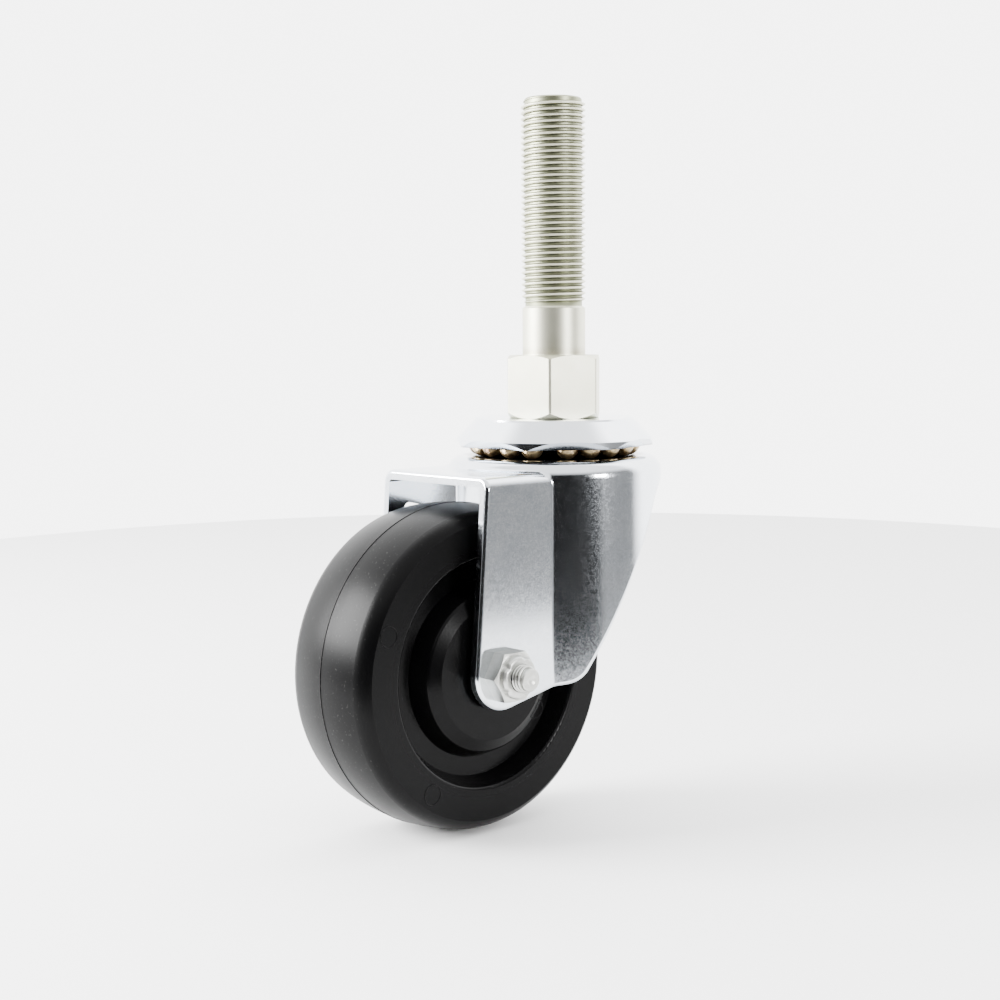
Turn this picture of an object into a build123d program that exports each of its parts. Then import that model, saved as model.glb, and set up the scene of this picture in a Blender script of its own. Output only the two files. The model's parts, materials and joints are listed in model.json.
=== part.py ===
from build123d import *
from math import acos, asin, atan2, cos, degrees, radians, sin, sqrt, tan
import os

# Swivel castor on a threaded levelling stem with a hexagon for the spanner.
# Millimetres. The origin is on the swivel axis, on the hexagon's upper face, where the leg's end
# or its lock nut seats. +Z points up the stem, and the wheel trails towards -X.

# ---- Stem: one turned and forged piece, from the threaded end down to the riveted kingpin ----
stem_dia = 15.6             # over the crests of a 5/8-18 UNF thread, at the low end of its range
stem_length = 61.6          # above the hexagon
stem_tip_chamfer = 1.1
hex_across_flats = 21.6
hex_corner_round = 0.85     # radius along the hexagon's upright corners
hex_height = 15.24
hex_top_bevel = 30.0        # degrees, turned on the hexagon's corners
hex_bottom_bevel = 42.0
hex_turn = -18.5            # degrees from +X to a corner
neck_dia = 16.0             # the seat that the race cap is pressed on
kingpin_dia = 12.8
rivet_head_dia = 17.2
rivet_head_height = 1.4
rivet_head_flank = 0.63     # height of the head's sloping underside

# ---- Clearances ----
press_gap = 0.04            # left between two pieces that are pressed together
race_gap = 0.15             # between a ball and its raceway
ball_gap = 0.07             # between one ball and the next
swivel_clearance = 0.6      # between the kingpin and the hole in the fork's crown
crown_to_cap_gap = 1.5      # between the crown's raised boss and the cap

# ---- Upper raceway: cap, balls and the fork's crown ----
upper_ball_dia = 5.556      # 7/32 in
upper_track_dia = 36.8      # through the ball centres
first_ball_angle = -124.5   # degrees from +X; the full row leaves one short space before it
cap_plate = 2.4             # thickness of the cap round the stem
cap_race_wall = 3.33        # thickness of the cap above the balls
cap_disc_dia = 38.6         # the flat top
cap_disc_step = 0.4         # height of the small step at the flat top's edge
cap_disc_step_run = 0.2     # how far out the step runs
cap_race_flat = 2.05        # the race's flat roof reaches this far inside the track
cap_dia = 48.1
cap_shoulder_drop = 5.0     # where the sloping shoulder reaches the full diameter
cap_height = 6.7
cap_flat_count = 7          # flats crimped round the lower edge
cap_flat_rim_wall = 0.5     # wall left at the lower edge in the middle of a flat
cap_flat_turn = -150.0      # degrees from +X to a corner between two flats

# ---- Lower raceway: balls and the race riveted on the kingpin ----
lower_ball_dia = 4.7625     # 3/16 in
lower_track_dia = 22.6
lower_race_plate = 2.0      # thickness below the balls
lower_race_dia = 26.4
lower_race_hub_rise = 0.2   # the hub stands this much below the ball centres

# ---- Fork: one pressed sheet, with a round crown, a flat roof over the wheel and two legs ----
sheet = 2.3
fork_width = 37.36
crown_dia = 52.4
crown_edge_radius = 4.0
roof_step = 2.45            # the roof lies this much below the crown
roof_edge_radius = 3.0
roof_reach = 38.5           # from the swivel axis to the roof's front edge
crease_radius = 1.5         # where a flat leg turns into the round skirt
leg_end_radius = 8.4
leg_bottom_rise = 12.0      # degrees, the lower edge behind the axle
skirt_corner_behind_axle = 21.3
skirt_corner_radius = 6.5
skirt_slope = 61.2          # degrees, the cut edge from the corner up to the back of the crown
skirt_back_height = 1.2     # straight wall left at the back of the crown
skirt_blend_radius = 12.0
cut_edge_round = 0.9        # the outer edge of the cut sheet, rolled over by the trimming die
boss_edge_radius = 2.0

# Window pierced in the far leg
window_length = 14.0
window_height = 12.0
window_behind_edge = 4.4    # from the leg's front edge
window_below_roof = 5.6     # from the underside of the roof
window_corner_radius = 1.5
window_top_slope = 12.0     # degrees that the upper edge falls towards the back

# ---- Wheel: one hard rubber moulding ----
wheel_dia = 76.2            # 3 in
wheel_roof_gap = 4.76       # between the wheel and the underside of the roof
trail = 33.75               # from the swivel axis back to the axle
tread_half_width = 10.5
tread_crown_drop = 1.1      # how far the tread falls from the middle to the shoulder
side_half_width = 13.9
shoulder_drop = 3.6         # how far the shoulder's rounding ends below the tread
recess_outer_dia = 53.9     # at the side face
recess_floor_dia = 49.6
recess_half_width = 9.1     # from the wheel's middle plane to the recess floor
hub_root_dia = 41.0
hub_edge_dia = 37.0
hub_edge_half_width = 13.7
hub_face_dia = 31.4
hub_face_half_width = 15.0
hub_boss_dia = 15.0
hub_side_gap = 0.45         # between the hub's boss and a leg
side_edge_round = 0.9

# ---- Axle: sleeve clamped between the legs by a hexagon bolt and a locking nut ----
bolt_dia = 6.35             # 1/4 in
bolt_hole_gap = 0.1
sleeve_dia = 9.525          # 3/8 in
sleeve_running_gap = 0.08
bolt_head_across_flats = 11.11
bolt_head_height = 4.0
bolt_past_nut = 3.3
bolt_tip_chamfer = 0.8
bolt_tip_dimple_dia = 2.6
bolt_tip_dimple_depth = 0.65
nut_hex_height = 3.9
nut_collar_dia = 9.9
nut_collar_height = 1.6
nut_collar_lip = 0.8        # wall of the collar at its open end
thread_gap = 0.05           # between the bolt's thread and the nut
bevel_angle = 30.0          # on the small hexagons

# ---- Places worked out from the sizes ----
stem_r = stem_dia / 2
cap_top_z = -hex_height
upper_track_r = upper_track_dia / 2
upper_groove_r = upper_ball_dia / 2 + race_gap
upper_ball_z = cap_top_z - cap_race_wall - upper_groove_r
crown_top_z = upper_ball_z - upper_ball_dia / 2
boss_r = upper_track_r - upper_groove_r
boss_top_z = cap_top_z - cap_plate - crown_to_cap_gap
lower_track_r = lower_track_dia / 2
lower_groove_r = lower_ball_dia / 2 + race_gap
lower_ball_z = boss_top_z - sheet - lower_groove_r
lower_race_bottom_z = lower_ball_z - lower_groove_r - lower_race_plate
rivet_bottom_z = lower_race_bottom_z - press_gap - rivet_head_height
leg_outer_y = fork_width / 2
leg_inner_y = leg_outer_y - sheet
crown_r = crown_dia / 2
roof_top_z = crown_top_z - roof_step
wheel_r = wheel_dia / 2
axle_z = roof_top_z - sheet - wheel_roof_gap - wheel_r
skirt_back_z = crown_top_z - crown_edge_radius - skirt_back_height
bolt_hole_r = bolt_dia / 2 + bolt_hole_gap
hub_half_length = leg_inner_y - hub_side_gap
nut_end_y = leg_outer_y + nut_hex_height + nut_collar_height
below_everything = axle_z - wheel_dia
beyond_everything = wheel_dia + trail


def turned(*edges):
    """A solid turned about the Z axis from the edges of its half section, drawn as (radius, height)."""
    section = make_face(Plane.XZ * (Curve() + list(edges)))
    return revolve(section, Axis.Z)


def bevelled_hexagon(across_flats, height, top_bevel, bottom_bevel, corner_round=0):
    """A hexagon bar from z = 0 up, with its corners turned off at both ends."""
    flat_r = across_flats / 2
    corner_r = flat_r / cos(radians(30))
    top_drop = (corner_r - flat_r) * tan(radians(top_bevel))
    bottom_drop = (corner_r - flat_r) * tan(radians(bottom_bevel))
    bar = extrude(RegularPolygon(flat_r, 6, major_radius=False), height)
    if corner_round > 0:
        bar = fillet(bar.edges().filter_by(Axis.Z), corner_round)
    envelope = turned(
        Polyline(
            (0, 0),
            (flat_r, 0),
            (corner_r, bottom_drop),
            (corner_r, height - top_drop),
            (flat_r, height),
            (0, height),
            close=True,
        )
    )
    return bar & envelope


def make_stem():
    shaft = turned(
        Polyline(
            (0, rivet_bottom_z),
            (kingpin_dia / 2, rivet_bottom_z),
            (rivet_head_dia / 2, rivet_bottom_z + rivet_head_flank),
            (rivet_head_dia / 2, rivet_bottom_z + rivet_head_height),
            (kingpin_dia / 2, rivet_bottom_z + rivet_head_height),
            (kingpin_dia / 2, cap_top_z - cap_plate),
            (neck_dia / 2, cap_top_z - cap_plate),
            (neck_dia / 2, cap_top_z),
            (stem_r, cap_top_z),
            (stem_r, stem_length - stem_tip_chamfer),
            (stem_r - stem_tip_chamfer, stem_length),
            (0, stem_length),
            close=True,
        )
    )
    hexagon = bevelled_hexagon(
        hex_across_flats, hex_height, hex_top_bevel, hex_bottom_bevel, hex_corner_round
    )
    return shaft + Pos(0, 0, cap_top_z) * Rot(0, 0, hex_turn) * hexagon


def make_race_cap():
    cap_r = cap_dia / 2
    disc_r = cap_disc_dia / 2
    rim_z = cap_top_z - cap_height
    cavity_r = upper_track_r + upper_groove_r
    race_top_z = upper_ball_z + upper_groove_r
    plate_z = cap_top_z - cap_plate
    inner_r = upper_track_r - cap_race_flat
    side = Line((cavity_r, rim_z), (cavity_r, upper_ball_z))
    race = CenterArc((upper_track_r, upper_ball_z), upper_groove_r, 0, 90)
    cap = turned(
        Polyline(
            (cavity_r, rim_z),
            (cap_r, rim_z),
            (cap_r, cap_top_z - cap_shoulder_drop),
            (disc_r + cap_disc_step_run, cap_top_z - cap_disc_step),
            (disc_r, cap_top_z),
            (neck_dia / 2 + press_gap, cap_top_z),
            (neck_dia / 2 + press_gap, plate_z),
            (inner_r - (plate_z - race_top_z), plate_z),
            (inner_r, race_top_z),
            (upper_track_r, race_top_z),
        ),
        race,
        side,
    )
    # Each flat is a plane at 45 degrees, which takes off the lower outer corner.
    flat_r = cavity_r + cap_flat_rim_wall
    depth = cap_r
    trimmer = Pos(flat_r, 0, rim_z) * Rot(0, 45, 0) * Pos(depth / 2, 0, 0) * Box(depth, cap_dia, cap_dia)
    for index in range(cap_flat_count):
        middle = cap_flat_turn + (index + 0.5) * 360 / cap_flat_count
        cap -= Rot(0, 0, middle) * trimmer
    return cap


def make_lower_race():
    hub_z = lower_ball_z - lower_race_hub_rise
    groove_bottom_z = lower_ball_z - lower_groove_r
    bore_r = kingpin_dia / 2 + press_gap
    hub_r = lower_track_r - sqrt(lower_groove_r**2 - lower_race_hub_rise**2)
    start = degrees(atan2(-lower_race_hub_rise, hub_r - lower_track_r))
    return turned(
        CenterArc((lower_track_r, lower_ball_z), lower_groove_r, start, 270 - (start + 360)),
        Polyline(
            (lower_track_r, groove_bottom_z),
            (lower_race_dia / 2, groove_bottom_z),
            (lower_race_dia / 2, lower_race_bottom_z),
            (bore_r, lower_race_bottom_z),
            (bore_r, hub_z),
            (hub_r, hub_z),
        ),
    )


def fork_envelope(inset):
    """The pressed form without its cut edges, set in from the outer surface by one distance."""
    length = beyond_everything
    depth = crown_top_z - below_everything
    round_part = Pos(0, 0, crown_top_z - inset) * Cylinder(
        crown_r - inset, depth, align=(Align.CENTER, Align.CENTER, Align.MAX)
    )
    round_part = fillet(round_part.edges().sort_by(Axis.Z)[-1], crown_edge_radius - inset)
    half_width = leg_outer_y - inset
    flat_part = Pos(0, 0, roof_top_z - inset) * Box(
        length, 2 * half_width, depth, align=(Align.MAX, Align.CENTER, Align.MAX)
    )
    long_edges = flat_part.edges().filter_by(Axis.X).group_by(Axis.Z)[-1]
    flat_part = fillet(long_edges, roof_edge_radius - inset)
    whole = round_part + flat_part
    crease_x = -sqrt((crown_r - inset) ** 2 - half_width**2)
    creases = [
        edge
        for edge in whole.edges().filter_by(Axis.Z)
        if abs(edge.center().X - crease_x) < 0.1 and abs(abs(edge.center().Y) - half_width) < 0.1
    ]
    return fillet(creases, crease_radius)


def fork_side_outline():
    """The fork's cut edges seen from the side, as a face in the XZ plane."""

    def leg_end_point(angle):
        turn = radians(angle)
        return (-trail + leg_end_radius * cos(turn), axle_z + leg_end_radius * sin(turn))

    # The front edge runs from the roof's corner down to touch the round end of the leg.
    rise = roof_top_z - axle_z
    run = trail - roof_reach
    front_touch = leg_end_point(degrees(atan2(rise, run) + acos(leg_end_radius / sqrt(rise**2 + run**2))))
    bottom_touch = leg_end_point(270 + leg_bottom_rise)
    corner_x = skirt_corner_behind_axle - trail
    corner_z = bottom_touch[1] + (corner_x - bottom_touch[0]) * tan(radians(leg_bottom_rise))
    blend_x = corner_x + (skirt_back_z - corner_z) / tan(radians(skirt_slope))
    behind_x = crown_r + sheet
    outline = make_face(
        Polyline(
            (-roof_reach, cap_top_z),
            (-roof_reach, roof_top_z),
            front_touch,
            (-trail, axle_z),
            bottom_touch,
            (corner_x, corner_z),
            (blend_x, skirt_back_z),
            (behind_x, skirt_back_z),
            (behind_x, cap_top_z),
            close=True,
        )
    )
    outline += Pos(-trail, axle_z) * Circle(leg_end_radius)
    corner = outline.vertices().sort_by_distance((corner_x, corner_z))[0]
    outline = fillet(corner, skirt_corner_radius)
    blend = outline.vertices().sort_by_distance((blend_x, skirt_back_z))[0]
    return Plane.XZ * fillet(blend, skirt_blend_radius)


def skirt_cut_edges(fork):
    """The skirt's outer cut edges. A round on them runs on round both legs, which they meet smoothly."""
    skirt_start_x = -sqrt(crown_r**2 - leg_outer_y**2)
    reach = 0.02

    def on_cut(point):
        on_skirt = abs(sqrt(point.X**2 + point.Y**2) - crown_r) < reach
        return on_skirt and point.X > skirt_start_x and point.Z < skirt_back_z + reach

    return fork.edges().filter_by(Axis.Z, reverse=True).filter_by(
        lambda edge: all(on_cut(edge @ share) for share in (0.02, 0.5, 0.98))
    )


def far_leg_window():
    """The cutter for the window in the far leg, its upper edge falling towards the back."""
    front_x = window_behind_edge - roof_reach - tan(radians(window_top_slope))
    top_z = roof_top_z - sheet - window_below_roof
    back_x = front_x + window_length
    corners = make_face(
        Polyline(
            (front_x, top_z),
            (back_x, top_z - window_length * tan(radians(window_top_slope))),
            (back_x, top_z - window_height),
            (front_x, top_z - window_height),
            close=True,
        )
    )
    shape = fillet(corners.vertices(), window_corner_radius)
    return Pos(0, leg_outer_y + sheet, 0) * extrude(Plane.XZ * shape, 3 * sheet)


def make_fork():
    fork = fork_envelope(0) - fork_envelope(sheet)
    side_view = extrude(fork_side_outline(), fork_width, both=True)
    fork &= side_view
    fork = fillet(skirt_cut_edges(fork), cut_edge_round)
    # The crown's raised boss is pressed up from inside the ball track.
    boss_inner_r = boss_r - sheet
    flank_r = upper_groove_r + sheet
    plate_bottom_z = crown_top_z - sheet
    fork -= Pos(0, 0, crown_top_z) * Cylinder(upper_track_r, 3 * sheet)
    groove_bottom_z = upper_ball_z - upper_groove_r
    boss = turned(
        CenterArc((upper_track_r, upper_ball_z), upper_groove_r, 180, 90),
        Line((upper_track_r, groove_bottom_z), (upper_track_r, upper_ball_z - flank_r)),
        CenterArc((upper_track_r, upper_ball_z), flank_r, 270, -90),
        Polyline(
            (boss_inner_r, upper_ball_z),
            (boss_inner_r, boss_top_z - sheet),
            (kingpin_dia / 2 + swivel_clearance, boss_top_z - sheet),
            (kingpin_dia / 2 + swivel_clearance, boss_top_z),
            (boss_r, boss_top_z),
            (boss_r, upper_ball_z),
        ),
    )
    rim = boss.edges().filter_by(GeomType.CIRCLE).filter_by(lambda e: abs(e.radius - boss_r) < 0.01)
    boss = fillet(rim.sort_by(Axis.Z)[-1], boss_edge_radius)
    fork += boss
    fork -= Pos(0, 0, upper_ball_z) * Torus(upper_track_r, upper_groove_r)
    fork -= Pos(0, 0, lower_ball_z) * Torus(lower_track_r, lower_groove_r)
    fork -= Pos(-trail, 0, axle_z) * Rot(90, 0, 0) * Cylinder(bolt_hole_r, 2 * fork_width)
    fork -= far_leg_window()
    return fork


def make_wheel():
    """One moulding, drawn as the half section on one side of the middle plane and mirrored."""
    floor_r = recess_floor_dia / 2
    side_r = wheel_r - shoulder_drop
    edge_r = recess_outer_dia / 2
    bore_r = sleeve_dia / 2 + sleeve_running_gap
    boss_radius = hub_boss_dia / 2
    tread_arc_r = (tread_half_width**2 + tread_crown_drop**2) / (2 * tread_crown_drop)
    tread_arc = degrees(asin(tread_half_width / tread_arc_r))
    tread = CenterArc((wheel_r - tread_arc_r, 0), tread_arc_r, 0, tread_arc)
    shoulder = TangentArc(
        tread @ 1,
        (side_r, side_half_width),
        tangent=tread % 1,
    )
    rest = Polyline(
        (side_r, side_half_width),
        (edge_r, side_half_width),
        (floor_r, recess_half_width),
        (hub_root_dia / 2, recess_half_width),
        (hub_edge_dia / 2, hub_edge_half_width),
        (hub_face_dia / 2, hub_face_half_width),
        (boss_radius, hub_face_half_width),
        (boss_radius, hub_half_length),
        (bore_r, hub_half_length),
        (bore_r, 0),
        (wheel_r, 0),
    )
    half = turned(tread, shoulder, rest)
    ring = half.edges().filter_by(GeomType.CIRCLE).filter_by(
        lambda e: abs(e.radius - edge_r) < 0.01 or abs(e.radius - hub_edge_dia / 2) < 0.01
    )
    half = fillet(ring, side_edge_round)
    wheel = half + mirror(half, Plane.XY)
    return Pos(-trail, 0, axle_z) * Rot(90, 0, 0) * wheel


def on_axle(piece, y):
    """Lay a piece that was built along +Z on the axle's line, pointing towards -Y from y."""
    return Pos(-trail, y, axle_z) * Rot(90, 0, 0) * piece


def make_axle_sleeve():
    length = 2 * leg_inner_y
    sleeve = Cylinder(sleeve_dia / 2, length) - Cylinder(bolt_hole_r, length)
    return on_axle(sleeve, 0)


def make_axle_bolt():
    head = bevelled_hexagon(bolt_head_across_flats, bolt_head_height, 0, bevel_angle)
    shank_length = leg_outer_y + nut_end_y + bolt_past_nut
    bolt_r = bolt_dia / 2
    shank = turned(
        Polyline(
            (0, 0),
            (bolt_r, 0),
            (bolt_r, shank_length - bolt_tip_chamfer),
            (bolt_r - bolt_tip_chamfer, shank_length),
            (bolt_tip_dimple_dia / 2, shank_length),
            (0, shank_length - bolt_tip_dimple_depth),
            close=True,
        )
    )
    bolt = shank + Pos(0, 0, -bolt_head_height) * head
    return on_axle(bolt, leg_outer_y)


def make_axle_nut():
    bore_r = bolt_dia / 2 + thread_gap
    nut = bevelled_hexagon(bolt_head_across_flats, nut_hex_height, bevel_angle, 0)
    nut += Cylinder(
        nut_collar_dia / 2,
        nut_hex_height + nut_collar_height,
        align=(Align.CENTER, Align.CENTER, Align.MIN),
    )
    lip = nut.edges().filter_by(GeomType.CIRCLE).sort_by(Axis.Z)[-1]
    nut = fillet(lip, nut_collar_lip)
    nut -= Cylinder(bore_r, 4 * nut_end_y)
    return on_axle(nut, -leg_outer_y)


def make_balls(name, ball_dia, track_r, ball_z, pitch, count, first_angle):
    for index in range(count):
        turn = radians(first_angle + index * pitch)
        place = Pos(track_r * cos(turn), track_r * sin(turn), ball_z)
        export_step(place * Sphere(ball_dia / 2), f"parts/{name}_{index + 1:02d}.step")


os.makedirs("parts", exist_ok=True)
pieces = {
    "stem": make_stem(),
    "race_cap": make_race_cap(),
    "lower_race": make_lower_race(),
    "fork": make_fork(),
    "wheel": make_wheel(),
    "axle_sleeve": make_axle_sleeve(),
    "axle_bolt": make_axle_bolt(),
    "axle_nut": make_axle_nut(),
}
for node, piece in pieces.items():
    export_step(piece, f"parts/{node}.step")

# The upper row is full: the balls lie side by side, with one short space left over.
upper_pitch = degrees(2 * asin((upper_ball_dia + ball_gap) / 2 / upper_track_r))
make_balls(
    "upper_ball",
    upper_ball_dia,
    upper_track_r,
    upper_ball_z,
    upper_pitch,
    int(360 / upper_pitch),
    first_ball_angle,
)
lower_count = int(180 / degrees(asin((lower_ball_dia + ball_gap) / 2 / lower_track_r)))
make_balls("lower_ball", lower_ball_dia, lower_track_r, lower_ball_z, 360 / lower_count, lower_count, 0)
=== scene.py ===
import json
import math

import bmesh
import bpy
from mathutils import Matrix, Vector

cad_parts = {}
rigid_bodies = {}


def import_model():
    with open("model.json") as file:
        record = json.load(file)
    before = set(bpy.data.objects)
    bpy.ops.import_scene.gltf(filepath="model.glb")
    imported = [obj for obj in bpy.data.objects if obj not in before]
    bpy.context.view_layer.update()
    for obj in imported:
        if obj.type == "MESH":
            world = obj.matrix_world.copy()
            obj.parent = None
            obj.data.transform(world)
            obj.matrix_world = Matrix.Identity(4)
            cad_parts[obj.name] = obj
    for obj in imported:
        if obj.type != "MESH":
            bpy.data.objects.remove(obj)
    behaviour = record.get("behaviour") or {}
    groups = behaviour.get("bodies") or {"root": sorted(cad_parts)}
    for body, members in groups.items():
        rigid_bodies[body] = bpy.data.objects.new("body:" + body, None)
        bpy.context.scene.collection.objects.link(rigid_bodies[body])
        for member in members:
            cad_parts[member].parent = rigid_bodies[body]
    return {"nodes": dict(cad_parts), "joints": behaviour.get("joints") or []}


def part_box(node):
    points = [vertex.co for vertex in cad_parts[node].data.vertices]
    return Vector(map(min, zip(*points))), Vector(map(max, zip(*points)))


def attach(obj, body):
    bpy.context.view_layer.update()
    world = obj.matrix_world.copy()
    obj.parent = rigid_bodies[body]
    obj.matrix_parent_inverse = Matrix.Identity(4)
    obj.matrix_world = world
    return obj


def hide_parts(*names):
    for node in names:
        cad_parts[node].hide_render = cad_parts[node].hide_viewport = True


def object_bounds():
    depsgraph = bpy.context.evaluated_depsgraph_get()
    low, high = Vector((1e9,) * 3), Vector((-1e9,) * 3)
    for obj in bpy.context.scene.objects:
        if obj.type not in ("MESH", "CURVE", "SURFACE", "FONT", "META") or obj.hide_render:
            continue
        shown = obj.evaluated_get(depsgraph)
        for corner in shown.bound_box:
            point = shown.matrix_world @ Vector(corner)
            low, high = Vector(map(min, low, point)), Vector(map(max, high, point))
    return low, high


for leftover in list(bpy.data.objects):
    bpy.data.objects.remove(leftover)
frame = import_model()
solids_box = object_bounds()


# ---- Stem ----
# Forged and turned steel under yellowish-white zinc: hexagon and plain shank, with a rolled
# 5/8-18 thread above. The thread is cut here, where the solid has only the crest diameter.
# The part below the shank is taken from the solid as it is.


def srgb(code):
    """A colour from its sRGB hex code, in linear light."""
    channels = [int(code[start : start + 2], 16) / 255 for start in (0, 2, 4)]
    linear = [c / 12.92 if c <= 0.04045 else ((c + 0.055) / 1.055) ** 2.4 for c in channels]
    return (*linear, 1.0)


def add(tree, kind, values=None, links=None, **settings):
    """Adds a node: settings are its own fields, values fill its sockets and links feed them."""
    node = tree.nodes.new(kind)
    for name, setting in settings.items():
        setattr(node, name, setting)
    for socket, value in (values or {}).items():
        node.inputs[socket].default_value = value
    for socket, source in (links or {}).items():
        tree.links.new(source, node.inputs[socket])
    return node


def new_material(name):
    material = bpy.data.materials.new(name)
    material.use_nodes = True
    material.node_tree.nodes.clear()
    return material, material.node_tree


def noise(tree, place, scale, detail):
    """Cloudy noise. Its scale is one over the clouds' size in metres."""
    sizes = {"Scale": scale, "Detail": detail}
    return add(tree, "ShaderNodeTexNoise", sizes, {"Vector": place}).outputs["Fac"]


def ramp(tree, value, from_min=0.0, from_max=1.0, to_min=0.0, to_max=1.0):
    """Maps a value from one range to another, held at both ends."""
    limits = {"From Min": from_min, "From Max": from_max, "To Min": to_min, "To Max": to_max}
    return add(tree, "ShaderNodeMapRange", limits, {"Value": value}).outputs[0]


def combined(tree, first, second, operation="MULTIPLY"):
    """One operation on two sockets."""
    return add(tree, "ShaderNodeMath", {}, {0: first, 1: second}, operation=operation).outputs[0]


def is_above(tree, value, level):
    return add(tree, "ShaderNodeMath", {1: level}, {0: value}, operation="GREATER_THAN").outputs[0]


def distance_in_plane(tree, vector, plane):
    """The length of a vector in a plane that is given as ones and zeros."""
    flat = add(tree, "ShaderNodeVectorMath", {1: plane}, {0: vector}, operation="MULTIPLY")
    return add(tree, "ShaderNodeVectorMath", {}, {0: flat.outputs[0]}, operation="LENGTH").outputs["Value"]


def mixed(tree, amount, first, second, **settings):
    """Goes from the first colour to the second. Each source is a hex code, a number or a socket."""
    values, links = {}, {}
    for socket, source in ((0, amount), (6, first), (7, second)):
        if isinstance(source, str):
            values[socket] = srgb(source)
        elif isinstance(source, float):
            values[socket] = source
        else:
            links[socket] = source
    return add(tree, "ShaderNodeMix", values, links, data_type="RGBA", **settings).outputs[2]


def bumped(tree, height, strength, distance):
    return add(
        tree, "ShaderNodeBump", {"Strength": strength, "Distance": distance}, {"Height": height}
    ).outputs[0]


def surface(tree, values, links):
    """The shader and the material's output."""
    shader = add(tree, "ShaderNodeBsdfPrincipled", values, links)
    add(tree, "ShaderNodeOutputMaterial", {}, {0: shader.outputs[0]})


def stem_zinc():
    """Zinc plate with a thin yellow passivation: satin and warm, with painted shade, darker and greenish,
    down in the thread.
    """
    material, tree = new_material("zinc_plate_yellow_passivated")
    place = add(tree, "ShaderNodeTexCoord").outputs["Object"]
    cloud_size = 0.005
    plate = mixed(tree, noise(tree, place, 1 / cloud_size, 4.0), "DCDBC9", "C9C8B4")
    # Painted shade: the thread's roots and lower flanks are coloured darker and greenish, where shade
    # falls between the ridges.
    root_dark_r, flank_bright_r, dark_from_z = 0.00700, 0.00755, 0.0118
    radius = distance_in_plane(tree, place, (1, 1, 0))
    height = add(tree, "ShaderNodeSeparateXYZ", {}, {0: place}).outputs["Z"]
    root = ramp(tree, radius, root_dark_r, flank_bright_r, 1.0, 0.0)
    painted_root_shade = combined(tree, root, is_above(tree, height, dark_from_z))
    colour = mixed(tree, painted_root_shade, plate, "92947C")
    # A brown ring of old dirt sits where the shank meets the hexagon.
    ring_low_z, ring_high_z, ring_strength, patch_scale = 0.0003, 0.0022, 0.75, 260.0
    ring = ramp(tree, height, ring_low_z, ring_high_z, ring_strength, 0.0)
    patchy = combined(tree, ring, noise(tree, place, patch_scale, 3.0))
    stained = mixed(tree, combined(tree, patchy, is_above(tree, height, ring_low_z)), colour, "8A7C66")
    grain_size = 0.0005
    bump = bumped(tree, noise(tree, place, 1 / grain_size, 5.0), 0.25, 0.00003)
    surface(tree, {"Metallic": 1.0, "Roughness": 0.42}, {"Base Color": stained, "Normal": bump})
    return material


def merged_copy(node_name):
    """A copy of a solid's mesh with its loose triangles joined, to work on."""
    shape = bmesh.new()
    shape.from_mesh(frame["nodes"][node_name].data)
    bmesh.ops.remove_doubles(shape, verts=shape.verts, dist=1e-7)
    return shape


def cut_off(shape, point, direction):
    """Removes what lies beyond the plane through point, on the side that direction points to."""
    everything = shape.verts[:] + shape.edges[:] + shape.faces[:]
    bmesh.ops.bisect_plane(shape, geom=everything, plane_co=point, plane_no=direction, clear_outer=True)


def add_turned(shape, section, steps, place=None):
    """Turns (radius, height) points about Z, puts the result in place and joins it to shape."""
    turned = bmesh.new()
    points = [turned.verts.new((radius, 0, height)) for radius, height in section]
    edges = [turned.edges.new(pair) for pair in zip(points, points[1:])]
    bmesh.ops.spin(turned, geom=points + edges, axis=(0, 0, 1), angle=math.tau, steps=steps)
    bmesh.ops.remove_doubles(turned, verts=turned.verts, dist=1e-6)
    bmesh.ops.transform(turned, matrix=place or Matrix.Identity(4), verts=turned.verts)
    holder = bpy.data.meshes.new("turned")
    turned.to_mesh(holder)
    turned.free()
    shape.from_mesh(holder)
    bpy.data.meshes.remove(holder)


def to_piece(shape, name, material):
    """Makes an object at the origin of a finished shape. Only its turned faces are shaded round."""
    sharp_angle = 12
    bmesh.ops.recalc_face_normals(shape, faces=shape.faces)
    mesh = bpy.data.meshes.new(name)
    shape.to_mesh(mesh)
    shape.free()
    mesh.materials.append(material)
    mesh.shade_smooth()
    mesh.set_sharp_from_angle(angle=math.radians(sharp_angle))
    piece = bpy.data.objects.new(name, mesh)
    bpy.context.scene.collection.objects.link(piece)
    return piece


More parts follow.
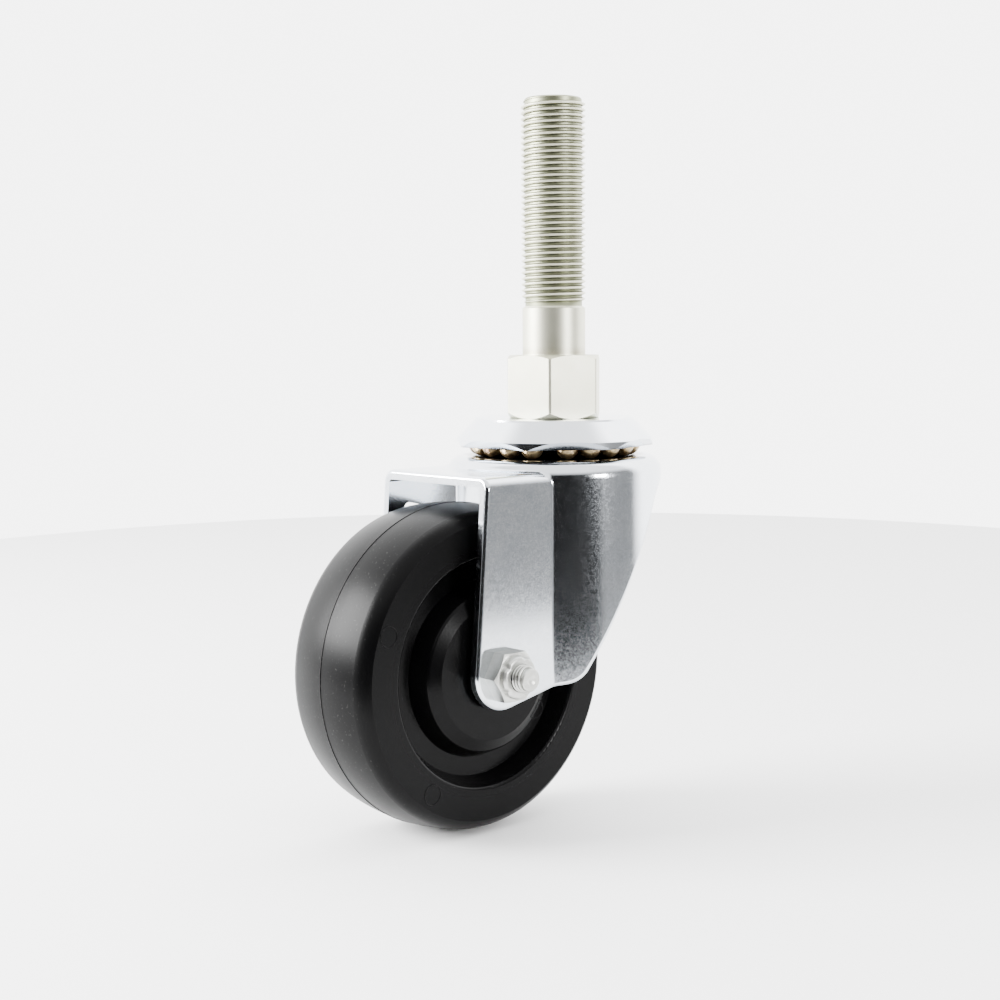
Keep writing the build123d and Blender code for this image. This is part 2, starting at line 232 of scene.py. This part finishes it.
def thread_tree():
    """A screw thread as one helical ridge, with its flanks, its flat crest and both ends run out."""
    tree = bpy.data.node_groups.new("screw_thread", "GeometryNodeTree")
    sizes = ("Root Radius", "Depth", "Pitch", "Turns", "Base", "Run In", "Run Out")
    for size in sizes:
        tree.interface.new_socket(size, in_out="INPUT", socket_type="NodeSocketFloat")
    tree.interface.new_socket("Finish", in_out="INPUT", socket_type="NodeSocketMaterial")
    tree.interface.new_socket("Mesh", in_out="OUTPUT", socket_type="NodeSocketGeometry")
    given = add(tree, "NodeGroupInput").outputs

    def figure(a, b, operation="MULTIPLY"):
        node = add(tree, "ShaderNodeMath", operation=operation)
        for socket, value in zip(node.inputs, (a, b)):
            if isinstance(value, float):
                socket.default_value = value
            else:
                tree.links.new(value, socket)
        return node.outputs[0]

    rise = figure(given["Pitch"], given["Turns"])
    helix = add(
        tree,
        "GeometryNodeCurveSpiral",
        {"Resolution": 64, "Reverse": True},
        {
            "Rotations": given["Turns"],
            "Start Radius": given["Root Radius"],
            "End Radius": given["Root Radius"],
            "Height": rise,
        },
    )
    lift = add(tree, "ShaderNodeCombineXYZ", {}, {"Z": given["Base"]})
    placed = add(
        tree,
        "GeometryNodeTransform",
        {},
        {"Geometry": helix.outputs[0], "Translation": lift.outputs[0]},
    )
    upright = add(tree, "GeometryNodeSetCurveNormal", {}, {"Curve": placed.outputs[0]}, mode="Z_UP")
    crest = figure(given["Pitch"], 0.0625)
    flank = figure(given["Depth"], math.tan(math.radians(30)))
    base = figure(crest, flank, "ADD")
    outward = given["Depth"]
    inward = figure(given["Depth"], -0.08)
    crest_low = figure(crest, -1.0)
    base_low = figure(base, -1.0)
    corners = ((inward, base_low), (outward, crest_low), (outward, crest), (inward, base))
    section = add(tree, "GeometryNodeCurvePrimitiveQuadrilateral", mode="POINTS")
    for number, (x, y) in enumerate(corners, 1):
        corner = add(tree, "ShaderNodeCombineXYZ", {}, {"X": x, "Y": y})
        tree.links.new(corner.outputs[0], section.inputs[f"Point {number}"])
    along = add(tree, "GeometryNodeSplineParameter").outputs["Factor"]
    turns_along = figure(along, given["Turns"])
    from_start = figure(turns_along, given["Run In"], "DIVIDE")
    left = figure(given["Turns"], turns_along, "SUBTRACT")
    from_end = figure(left, given["Run Out"], "DIVIDE")
    nearest = figure(from_start, from_end, "MINIMUM")
    scale = add(
        tree,
        "ShaderNodeMapRange",
        {"From Min": 0.0, "From Max": 1.0, "To Min": 0.03, "To Max": 1.0},
        {"Value": nearest},
    )
    ridge = add(
        tree,
        "GeometryNodeCurveToMesh",
        {"Fill Caps": True},
        {"Curve": upright.outputs[0], "Profile Curve": section.outputs[0], "Scale": scale.outputs[0]},
    )
    real = add(tree, "GeometryNodeRealizeInstances", {}, {0: ridge.outputs[0]})
    finished = add(
        tree, "GeometryNodeSetMaterial", {}, {"Geometry": real.outputs[0], "Material": given["Finish"]}
    )
    add(tree, "NodeGroupOutput", {}, {0: finished.outputs[0]})
    return tree


def made_by(tree, name, points=(), **inputs):
    """Runs a tree on some points, or on nothing, and keeps the result as a plain mesh."""
    start = bpy.data.meshes.new(name + "_start")
    start.from_pydata(points, [], [])
    holder = bpy.data.objects.new(name + "_start", start)
    bpy.context.scene.collection.objects.link(holder)
    maker = holder.modifiers.new("maker", "NODES")
    maker.node_group = tree
    for item in tree.interface.items_tree:
        if item.in_out == "INPUT" and item.socket_type != "NodeSocketGeometry":
            maker[item.identifier] = inputs[item.name.replace(" ", "_").lower()]
    bpy.context.view_layer.update()
    seen = holder.evaluated_get(bpy.context.evaluated_depsgraph_get())
    mesh = bpy.data.meshes.new_from_object(seen)
    holder.modifiers.remove(maker)
    bpy.data.objects.remove(holder)
    piece = bpy.data.objects.new(name, mesh)
    bpy.context.scene.collection.objects.link(piece)
    return piece


stem_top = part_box("stem")[1].z
thread_pitch = 0.0254 / 18
thread_crest_r = 0.00780
thread_depth = 0.6134 * thread_pitch
thread_root_r = thread_crest_r - thread_depth
thread_start = 0.0119
shank_r = 0.00767
shank_foot_z = 0.0001
tip_chamfer = 0.0011
tip_r = thread_crest_r - tip_chamfer

stem_finish = stem_zinc()
stem_shape = merged_copy("stem")
cut_off(stem_shape, (0, 0, shank_foot_z), (0, 0, 1))
add_turned(
    stem_shape,
    [
        (shank_r, 0.0),
        (shank_r, thread_start - 0.0006),
        (thread_root_r, thread_start),
        (thread_root_r, stem_top - (thread_root_r - tip_r) - 0.0001),
        (tip_r - 0.0001, stem_top),
        (0.0, stem_top),
    ],
    96,
)
stem_body = to_piece(stem_shape, "stem_body", stem_finish)
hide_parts("stem")
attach(stem_body, "stem_unit")

thread_turns = (stem_top - thread_start) / thread_pitch - 0.6
screw_thread = thread_tree()
stem_thread = made_by(
    screw_thread,
    "stem_thread",
    root_radius=thread_root_r,
    depth=thread_depth,
    pitch=thread_pitch,
    turns=thread_turns,
    base=thread_start + 0.0004,
    run_in=1.0,
    run_out=0.7,
    finish=stem_finish,
)
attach(stem_thread, "stem_unit")


# ---- Race cap and lower race ----
# Pressed and hardened steel under bright bluish zinc. The cap has flats crimped round its edge;
# its underside and the hidden lower race are painted dark brown, for bearing grease and for painted shade
# in the ball gap.


def race_zinc():
    """Bright zinc plate: bluish white and fairly smooth, with dark brown painted low under the cap, for
    grease and for painted shade in the ball gap.
    """
    material, tree = new_material("zinc_plate_bright_blue")
    place = add(tree, "ShaderNodeTexCoord").outputs["Object"]
    cloud_size, grain_size = 0.004, 0.0004
    cloud = noise(tree, place, 1 / cloud_size, 5.0)
    # Grease and painted shade: dark brown low on the cap and on the lower race, where the ball gap lies in
    # shade.
    grease_and_shade_top_z, grease_and_shade_fade_z = -0.0224, -0.0214
    height = add(tree, "ShaderNodeSeparateXYZ", {}, {0: place}).outputs["Z"]
    low = ramp(tree, height, grease_and_shade_top_z, grease_and_shade_fade_z, 1.0, 0.0)
    colour = mixed(tree, low, mixed(tree, cloud, "F2F5F9", "DEE4EB"), "3A3025")
    roughness = ramp(tree, cloud, to_min=0.09, to_max=0.18)
    bump = bumped(tree, noise(tree, place, 1 / grain_size, 4.0), 0.3, 0.00002)
    surface(tree, {"Metallic": 1.0}, {"Base Color": colour, "Roughness": roughness, "Normal": bump})
    return material


def finish_solid(node_name, material):
    """Gives its finish to a solid that is shown as it is."""
    mesh = frame["nodes"][node_name].data
    mesh.materials.clear()
    mesh.materials.append(material)


race_finish = race_zinc()
finish_solid("race_cap", race_finish)
finish_solid("lower_race", race_finish)


# ---- Balls ----
# Hardened steel balls in two rows, under old brown grease that has picked up rust.


def greasy_steel():
    """Polished steel under a thin coat of rusty grease: gold and brown in patches, still shiny."""
    material, tree = new_material("ball_steel_under_rusty_grease")
    place = add(tree, "ShaderNodeTexCoord").outputs["Object"]
    patch_size = 0.0022
    coat = ramp(tree, noise(tree, place, 1 / patch_size, 4.0), 0.35, 0.65)
    shine = {"Metallic": 0.85, "Roughness": 0.28, "Coat Weight": 0.4, "Coat Roughness": 0.12}
    surface(tree, shine, {"Base Color": mixed(tree, coat, "D2B98A", "5A3B1C")})
    return material


ball_finish = greasy_steel()
for node_name in frame["nodes"]:
    if "_ball_" in node_name:
        finish_solid(node_name, ball_finish)


# ---- Fork ----
# One pressed steel sheet with bright zinc over it. The die has rolled its cut edges, and the track
# pressed round the crown is painted dark brown, for grease from the balls and for painted shade under the
# cap.


def fork_zinc():
    """Zinc plate on pressed sheet: bluish and bright, with a fine sparkle from the zinc's own grain."""
    material, tree = new_material("zinc_plate_on_pressed_sheet")
    place = add(tree, "ShaderNodeTexCoord").outputs["Object"]
    # Zinc grains are about 0.1 mm; they are drawn at 0.35 mm so that they show.
    grain_size, cloud_size = 0.00035, 0.009
    grain = add(tree, "ShaderNodeTexVoronoi", {"Scale": 1 / grain_size}, {"Vector": place})
    tint = add(tree, "ShaderNodeSeparateColor", {}, {0: grain.outputs["Color"]})
    plate = mixed(tree, noise(tree, place, 1 / cloud_size, 4.0), "EAEEF3", "D2D8DF")
    sparkle = ramp(tree, tint.outputs[0], to_min=0.92, to_max=1.0)
    grained = mixed(tree, 1.0, plate, sparkle, blend_type="MULTIPLY")
    # Painted grease and shade keep to the track inside this radius and above this height.
    track_r, track_fade_r, track_z = 0.0206, 0.0222, -0.0266
    inside = ramp(tree, distance_in_plane(tree, place, (1, 1, 0)), track_r, track_fade_r, 1.0, 0.0)
    height = add(tree, "ShaderNodeSeparateXYZ", {}, {0: place}).outputs["Z"]
    colour = mixed(tree, combined(tree, inside, is_above(tree, height, track_z)), grained, "2E251B")
    roughness = ramp(tree, tint.outputs[1], to_min=0.11, to_max=0.18)
    bump = bumped(tree, grain.outputs["Distance"], 0.10, 0.00001)
    surface(tree, {"Metallic": 1.0}, {"Base Color": colour, "Roughness": roughness, "Normal": bump})
    return material


finish_solid("fork", fork_zinc())


# ---- Wheel ----
# One hard rubber moulding. The mould leaves a parting line round the middle of the tread and
# the rings of three ejector pins on the near side; dust clings to the tread.


def moulded_rubber():
    """Hard black rubber: satin, greyed by dust on the tread and smoother in the recess."""
    material, tree = new_material("moulded_black_rubber")
    place = add(tree, "ShaderNodeTexCoord").outputs["Object"]
    axle = frame["joints"][1]["pos_m"]
    centred = add(tree, "ShaderNodeVectorMath", {1: axle}, {0: place}, operation="SUBTRACT")
    radius = distance_in_plane(tree, centred.outputs[0], (1, 0, 1))
    recess_r, tread_edge_r, tread_r = 0.024, 0.0355, 0.0372
    speck_size, film_size, grain_size = 0.0006, 0.012, 0.0005
    caught = ramp(tree, noise(tree, place, 1 / speck_size, 3.0), 0.64, 0.76)
    dust = combined(tree, ramp(tree, radius, tread_edge_r, tread_r), caught)
    rubber = mixed(tree, noise(tree, place, 1 / film_size, 5.0), "020202", "060607")
    colour = mixed(tree, dust, rubber, "2C2C2B")
    roughness = ramp(tree, radius, recess_r, tread_r, 0.24, 0.33)
    bump = bumped(tree, noise(tree, place, 1 / grain_size, 3.0), 0.25, 0.00004)
    gloss = {"IOR": 1.52, "Specular IOR Level": 0.07}
    surface(tree, gloss, {"Base Color": colour, "Roughness": roughness, "Normal": bump})
    return material


def mould_ring_tree():
    """Fine raised rings lying square to the axle, one round each point."""
    tree = bpy.data.node_groups.new("mould_ring", "GeometryNodeTree")
    tree.interface.new_socket("Points", in_out="INPUT", socket_type="NodeSocketGeometry")
    for size in ("Ring Radius", "Bead Radius"):
        tree.interface.new_socket(size, in_out="INPUT", socket_type="NodeSocketFloat")
    tree.interface.new_socket("Finish", in_out="INPUT", socket_type="NodeSocketMaterial")
    tree.interface.new_socket("Mesh", in_out="OUTPUT", socket_type="NodeSocketGeometry")
    given = add(tree, "NodeGroupInput").outputs
    ring = add(
        tree, "GeometryNodeCurvePrimitiveCircle", {"Resolution": 192}, {"Radius": given["Ring Radius"]}
    )
    bead = add(
        tree, "GeometryNodeCurvePrimitiveCircle", {"Resolution": 8}, {"Radius": given["Bead Radius"]}
    )
    wire = add(
        tree, "GeometryNodeCurveToMesh", {}, {"Curve": ring.outputs[0], "Profile Curve": bead.outputs[0]}
    )
    copies = add(
        tree,
        "GeometryNodeInstanceOnPoints",
        {"Rotation": (math.pi / 2, 0, 0)},
        {"Points": given["Points"], "Instance": wire.outputs[0]},
    )
    real = add(tree, "GeometryNodeRealizeInstances", {}, {0: copies.outputs[0]})
    finished = add(
        tree, "GeometryNodeSetMaterial", {}, {"Geometry": real.outputs[0], "Material": given["Finish"]}
    )
    add(tree, "NodeGroupOutput", {}, {0: finished.outputs[0]})
    return tree


axle_centre = Vector(frame["joints"][1]["pos_m"])
wheel_low, wheel_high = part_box("wheel")
wheel_r = (wheel_high.z - wheel_low.z) / 2
wheel_finish = moulded_rubber()
finish_solid("wheel", wheel_finish)
rings = mould_ring_tree()
line_bead = 0.00022
parting_line = made_by(
    rings,
    "parting_line",
    points=[axle_centre],
    ring_radius=wheel_r - 0.00008,
    bead_radius=line_bead,
    finish=wheel_finish,
)
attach(parting_line, "wheel_unit")


def on_wheel_side(radius, degrees, half_width):
    """A point on the wheel's near side."""
    turn = math.radians(degrees)
    return axle_centre + Vector((radius * math.cos(turn), -half_width, radius * math.sin(turn)))


side_half_width = 0.0139
hub_half_width = 0.0144
ejector_marks = made_by(
    rings,
    "ejector_marks",
    points=[
        on_wheel_side(0.0319, 158.3, side_half_width),
        on_wheel_side(0.0311, -124.8, side_half_width),
        on_wheel_side(0.0170, -38.3, hub_half_width),
    ],
    ring_radius=0.0023,
    bead_radius=0.00011,
    finish=wheel_finish,
)
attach(ejector_marks, "wheel_unit")


# ---- Axle: bolt, sleeve and nut ----
# Zinc-plated steel. The bolt's rolled 1/4-28 thread stands out of the nut, and the nut's collar
# is staked in five places so that it grips the thread.


def fastener_zinc():
    """Zinc plate on small machined parts: pale, satin and a little dulled by handling."""
    material, tree = new_material("zinc_plate_on_fasteners")
    place = add(tree, "ShaderNodeTexCoord").outputs["Object"]
    cloud_size = 0.002
    cloud = noise(tree, place, 1 / cloud_size, 4.0)
    roughness = ramp(tree, cloud, to_min=0.3, to_max=0.48)
    colour = mixed(tree, cloud, "D8D9D6", "A9A9A3")
    surface(tree, {"Metallic": 1.0}, {"Base Color": colour, "Roughness": roughness})
    return material


fastener_finish = fastener_zinc()
finish_solid("axle_sleeve", fastener_finish)

nut_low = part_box("axle_nut")[0]
bolt_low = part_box("axle_bolt")[0]
collar_height = 0.0016
collar_face_y = nut_low.y + collar_height
collar_r = 0.00495
collar_lip = 0.0008
nut_bore_r = 0.003225
stake_count = 5
stake_depth = 0.00045
stake_half_angle = 0.22


def along_axle(y):
    """Lays what was turned about Z on the axle's line, pointing to the near side from y."""
    place = Vector((axle_centre.x, y, axle_centre.z))
    return Matrix.Translation(place) @ Matrix.Rotation(math.pi / 2, 4, "X")


nut_shape = merged_copy("axle_nut")
cut_off(nut_shape, (0, collar_face_y, 0), (0, -1, 0))
lip_arc = [math.radians(step) for step in range(0, 91, 10)]
lip = [
    (
        collar_r - collar_lip + collar_lip * math.cos(turn),
        collar_height - collar_lip + collar_lip * math.sin(turn),
    )
    for turn in lip_arc
]
add_turned(
    nut_shape,
    [(collar_r, 0.0), *lip, (nut_bore_r, collar_height), (nut_bore_r, 0.0)],
    120,
    along_axle(collar_face_y),
)
for vert in nut_shape.verts:
    out = Vector((vert.co.x - axle_centre.x, 0, vert.co.z - axle_centre.z))
    up_the_collar = (collar_face_y - vert.co.y) / collar_height
    if up_the_collar < 0.3 or out.length < nut_bore_r + 0.0003:
        continue
    turn = math.atan2(out.z, out.x) * stake_count / math.tau
    off_stake = abs(turn - round(turn)) * math.tau / stake_count
    pressed = max(0.0, 1 - off_stake / stake_half_angle)
    vert.co -= out.normalized() * stake_depth * pressed
nut = to_piece(nut_shape, "locking_nut", fastener_finish)
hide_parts("axle_nut")
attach(nut, "fork_unit")

bolt_pitch = 0.0254 / 28
bolt_crest_r = 0.003175
bolt_depth = 0.6134 * bolt_pitch
bolt_root_r = bolt_crest_r - bolt_depth
bolt_tip = 0.0008
dimple_r = 0.0013
dimple_depth = 0.00065
bolt_cut_y = nut_low.y + 0.0003
bolt_out = bolt_cut_y - bolt_low.y
bolt_shape = merged_copy("axle_bolt")
cut_off(bolt_shape, (0, bolt_cut_y, 0), (0, -1, 0))
add_turned(
    bolt_shape,
    [
        (bolt_root_r, 0.0),
        (bolt_root_r, bolt_out - 0.0002),
        (bolt_crest_r - bolt_tip, bolt_out),
        (dimple_r, bolt_out),
        (0.0, bolt_out - dimple_depth),
    ],
    64,
    along_axle(bolt_cut_y),
)
bolt = to_piece(bolt_shape, "bolt_body", fastener_finish)
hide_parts("axle_bolt")
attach(bolt, "fork_unit")
bolt_thread = made_by(
    screw_thread,
    "bolt_thread",
    root_radius=bolt_root_r,
    depth=bolt_depth,
    pitch=bolt_pitch,
    turns=bolt_out / bolt_pitch - 0.7,
    base=0.0002,
    run_in=0.1,
    run_out=0.9,
    finish=fastener_finish,
)
bolt_thread.data.transform(along_axle(bolt_cut_y))
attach(bolt_thread, "fork_unit")


# ---- Studio ----
# A pale floor in a room that is white behind and overhead. The plated parts that face the dark
# front show it as dark bands, and the narrow softbox beside it as a bright line.
floor_r = 0.42
floor_middle = (0.167, 0.186)
floor_z = solids_box[0].z
floor_shape = bmesh.new()
floor_place = Matrix.Translation((*floor_middle, floor_z))
bmesh.ops.create_circle(floor_shape, cap_ends=True, segments=128, radius=floor_r, matrix=floor_place)
floor_mesh = bpy.data.meshes.new("floor")
floor_shape.to_mesh(floor_mesh)
floor_shape.free()
floor_material, floor_tree = new_material("white_paper_floor")
surface(floor_tree, {"Base Color": srgb("F4F4F4"), "Roughness": 0.9}, {})
floor_mesh.materials.append(floor_material)
floor = bpy.data.objects.new("floor", floor_mesh)
bpy.context.scene.collection.objects.link(floor)

camera_place = Vector((-0.2892, -0.3010, 0.00576))
turn = math.radians(42.01)
tilt = math.radians(5.66)
roll = math.radians(-0.40)
forward = Vector((math.sin(turn) * math.cos(tilt), math.cos(turn) * math.cos(tilt), -math.sin(tilt)))
level_right = Vector((math.cos(turn), -math.sin(turn), 0))
level_up = level_right.cross(forward)
right = level_right * math.cos(roll) + level_up * math.sin(roll)
upward = level_up * math.cos(roll) - level_right * math.sin(roll)
lens = bpy.data.cameras.new("camera")
lens.lens = 61.2
lens.sensor_width = 36.0
lens.clip_start = 0.01
camera = bpy.data.objects.new("camera", lens)
axes = Matrix((right, upward, -forward)).transposed().to_4x4()
camera.matrix_world = Matrix.Translation(camera_place) @ axes
bpy.context.scene.collection.objects.link(camera)
bpy.context.scene.camera = camera

room = bpy.data.worlds.new("room")
bpy.context.scene.world = room
room.use_nodes = True
room_tree = room.node_tree
room_tree.nodes.clear()
facing = add(room_tree, "ShaderNodeTexCoord").outputs["Generated"]
toward_camera = (-math.sin(turn), -math.cos(turn), 0.0)
nearness = add(
    room_tree, "ShaderNodeVectorMath", {1: toward_camera}, {0: facing}, operation="DOT_PRODUCT"
).outputs["Value"]
# Behind the castor the room is white, in front of it dim, and near the camera's line dark.
behind = ramp(room_tree, nearness, -0.25, 0.02, 6.0, 0.42)
open_front = ramp(room_tree, nearness, 0.60, 0.72, 1.0, 0.05)
walls = combined(room_tree, behind, open_front)
level = add(room_tree, "ShaderNodeSeparateXYZ", {}, {0: facing}).outputs["Z"]
overhead = ramp(room_tree, level, 0.35, 0.65, 0.0, 2.6)
brightness = combined(room_tree, walls, overhead, "MAXIMUM")
sky = add(room_tree, "ShaderNodeBackground", {"Color": (1, 1, 1, 1)}, {"Strength": brightness})
add(room_tree, "ShaderNodeOutputWorld", {}, {0: sky.outputs[0]})


def add_softbox(name, place, size, power):
    """A square area light that looks at the castor."""
    light = bpy.data.lights.new(name, "AREA")
    light.size = size
    light.energy = power
    lamp = bpy.data.objects.new(name, light)
    aim = (-Vector(place)).to_track_quat("-Z", "Y").to_matrix().to_4x4()
    lamp.matrix_world = Matrix.Translation(place) @ aim
    bpy.context.scene.collection.objects.link(lamp)


add_softbox("key_softbox", (-0.58, 0.42, 0.24), 0.40, 30.0)
add_softbox("edge_softbox", (0.08, -0.70, 0.10), 0.17, 5.0)
